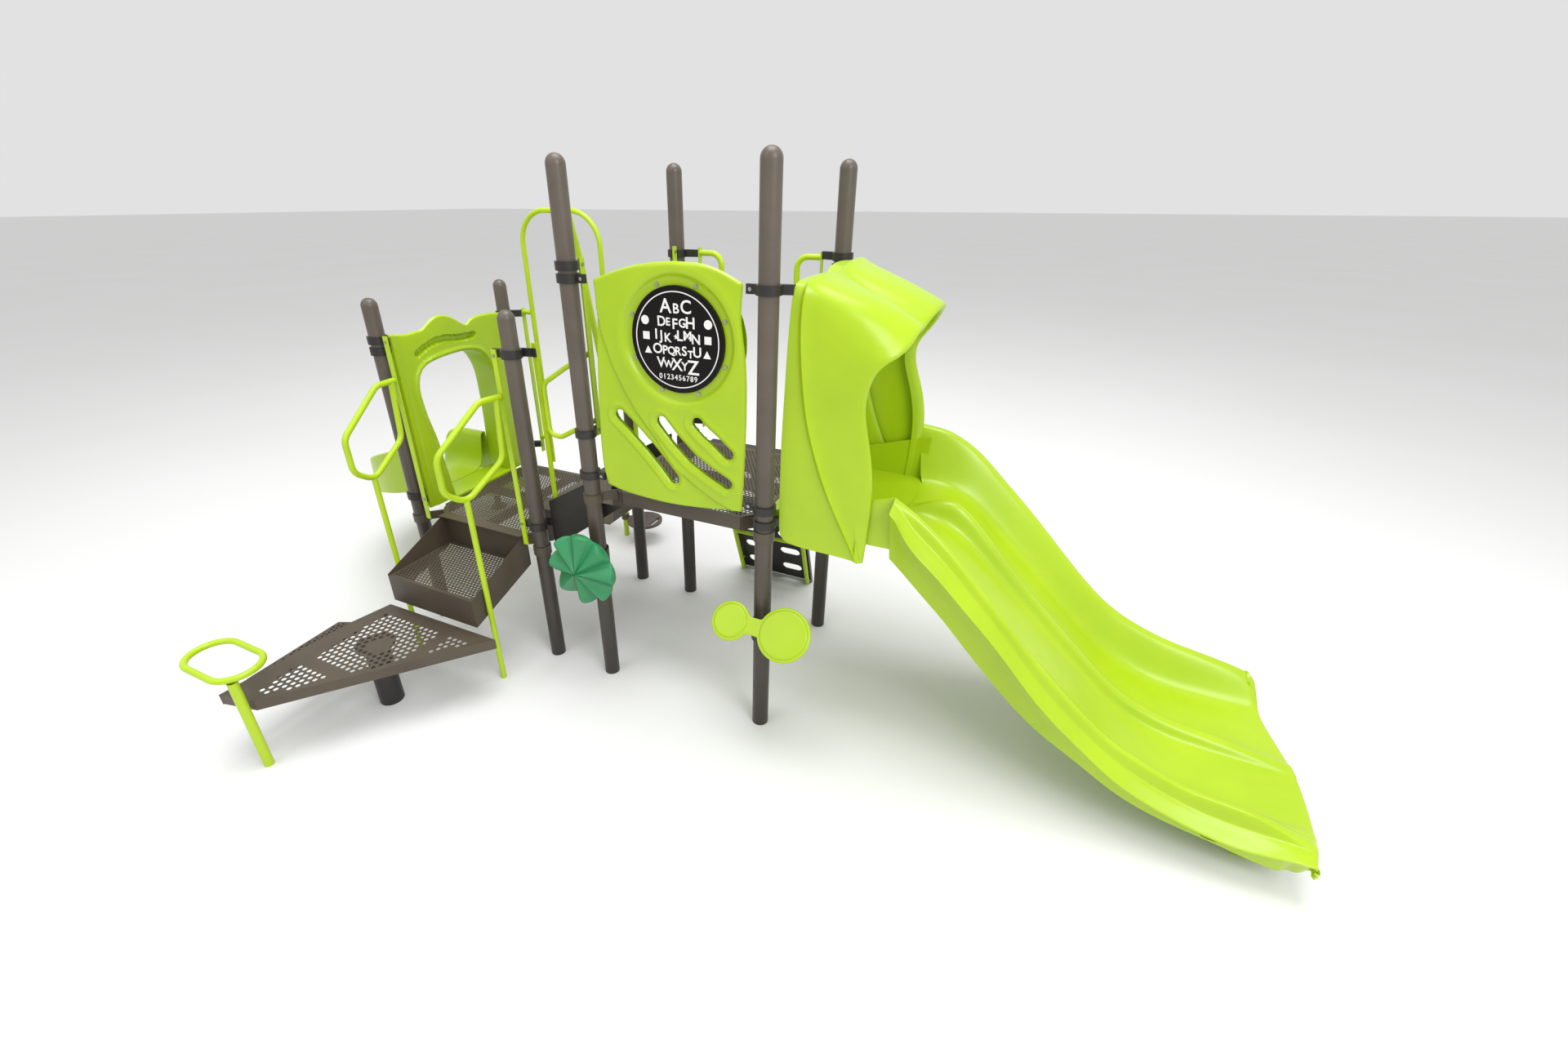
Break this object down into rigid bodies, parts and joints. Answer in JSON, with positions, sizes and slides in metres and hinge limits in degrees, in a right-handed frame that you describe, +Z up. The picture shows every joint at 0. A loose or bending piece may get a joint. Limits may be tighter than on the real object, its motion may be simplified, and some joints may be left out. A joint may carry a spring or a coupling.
{
  "type": "playground climbing and slide structure",
  "caption": "Playground structure with decks on round posts, climbing wall, double slide under a hood, short curved slide, pod climber, transfer step, handrails and activity panels.",
  "frame": {"origin": "centre of the foot of the high deck's front left post, at ground level", "axes": "+X from the low deck towards the double slide, +Y from the front to the back, +Z up"},
  "size_m": [6.2026, 3.1456, 2.8444],
  "materials": {
    "post_coat": "satin",
    "deck_coat": "satin",
    "black_coat": "satin",
    "lime_coat": "gloss",
    "lime_plastic": "gloss",
    "bronze_plastic": "matte",
    "dark_plastic": "matte",
    "teal_plastic": "gloss",
    "bolt_steel": "satin"
  },
  "bodies": {
    "structure": {"activity_panel": "lime_plastic", "back_arch": "lime_coat", "back_arch_bars": "lime_coat", "bar_bolts": "bolt_steel", "climber_pods": "bronze_plastic", "climbing_wall_plate": "black_coat", "climbing_wall_rails": "lime_coat", "disc_bolts": "bolt_steel", "drum_body": "lime_plastic", "drum_clamp": "black_coat", "drum_heads": "lime_plastic", "gap_rail_back": "lime_coat", "gap_rail_bars": "lime_coat", "gap_rail_front": "lime_coat", "hand_loop_bars": "lime_coat", "hand_loops": "lime_coat", "handrail_bars": "lime_coat", "handrail_left": "lime_coat", "handrail_right": "lime_coat", "high_deck": "deck_coat", "high_deck_hangers": "deck_coat", "high_deck_ribs": "deck_coat", "high_post_back_left": "post_coat", "high_post_back_right": "post_coat", "high_post_caps": "post_coat", "high_post_clamps": "black_coat", "high_post_front_left": "post_coat", "high_post_front_right": "post_coat", "letter_disc": "dark_plastic", "loop_handle_post": "lime_coat", "loop_handle_ring": "lime_coat", "low_deck": "deck_coat", "low_deck_hangers": "deck_coat", "low_deck_ribs": "deck_coat", "low_post_back_left": "post_coat", "low_post_back_right": "post_coat", "low_post_caps": "post_coat", "low_post_clamps": "black_coat", "low_post_front_left": "post_coat", "low_post_front_right": "post_coat", "mid_step_riser": "deck_coat", "mid_step_stringers": "black_coat", "mid_step_tread": "deck_coat", "platform_support": "black_coat", "platform_support_flange": "black_coat", "pod_pole": "lime_coat", "slide_chute": "lime_plastic", "slide_entry": "lime_plastic", "slide_entry_panel": "lime_plastic", "slide_foot": "lime_plastic", "slide_hood": "lime_plastic", "small_slide": "lime_plastic", "small_slide_leg": "post_coat", "star_wheel_axle": "bolt_steel", "star_wheel_clamp": "black_coat", "step_box": "deck_coat", "step_tread": "deck_coat", "transfer_platform": "deck_coat", "transfer_side_leaf": "deck_coat"},
    "wheel": {"star_wheel": "teal_plastic"}
  },
  "joints": [
    {"name": "wheel_spin", "type": "hinge", "parent": "structure", "child": "wheel", "pos_m": [0, -0.14, 0.832], "axis": [0, -1, 0], "continuous": true}
  ]
}
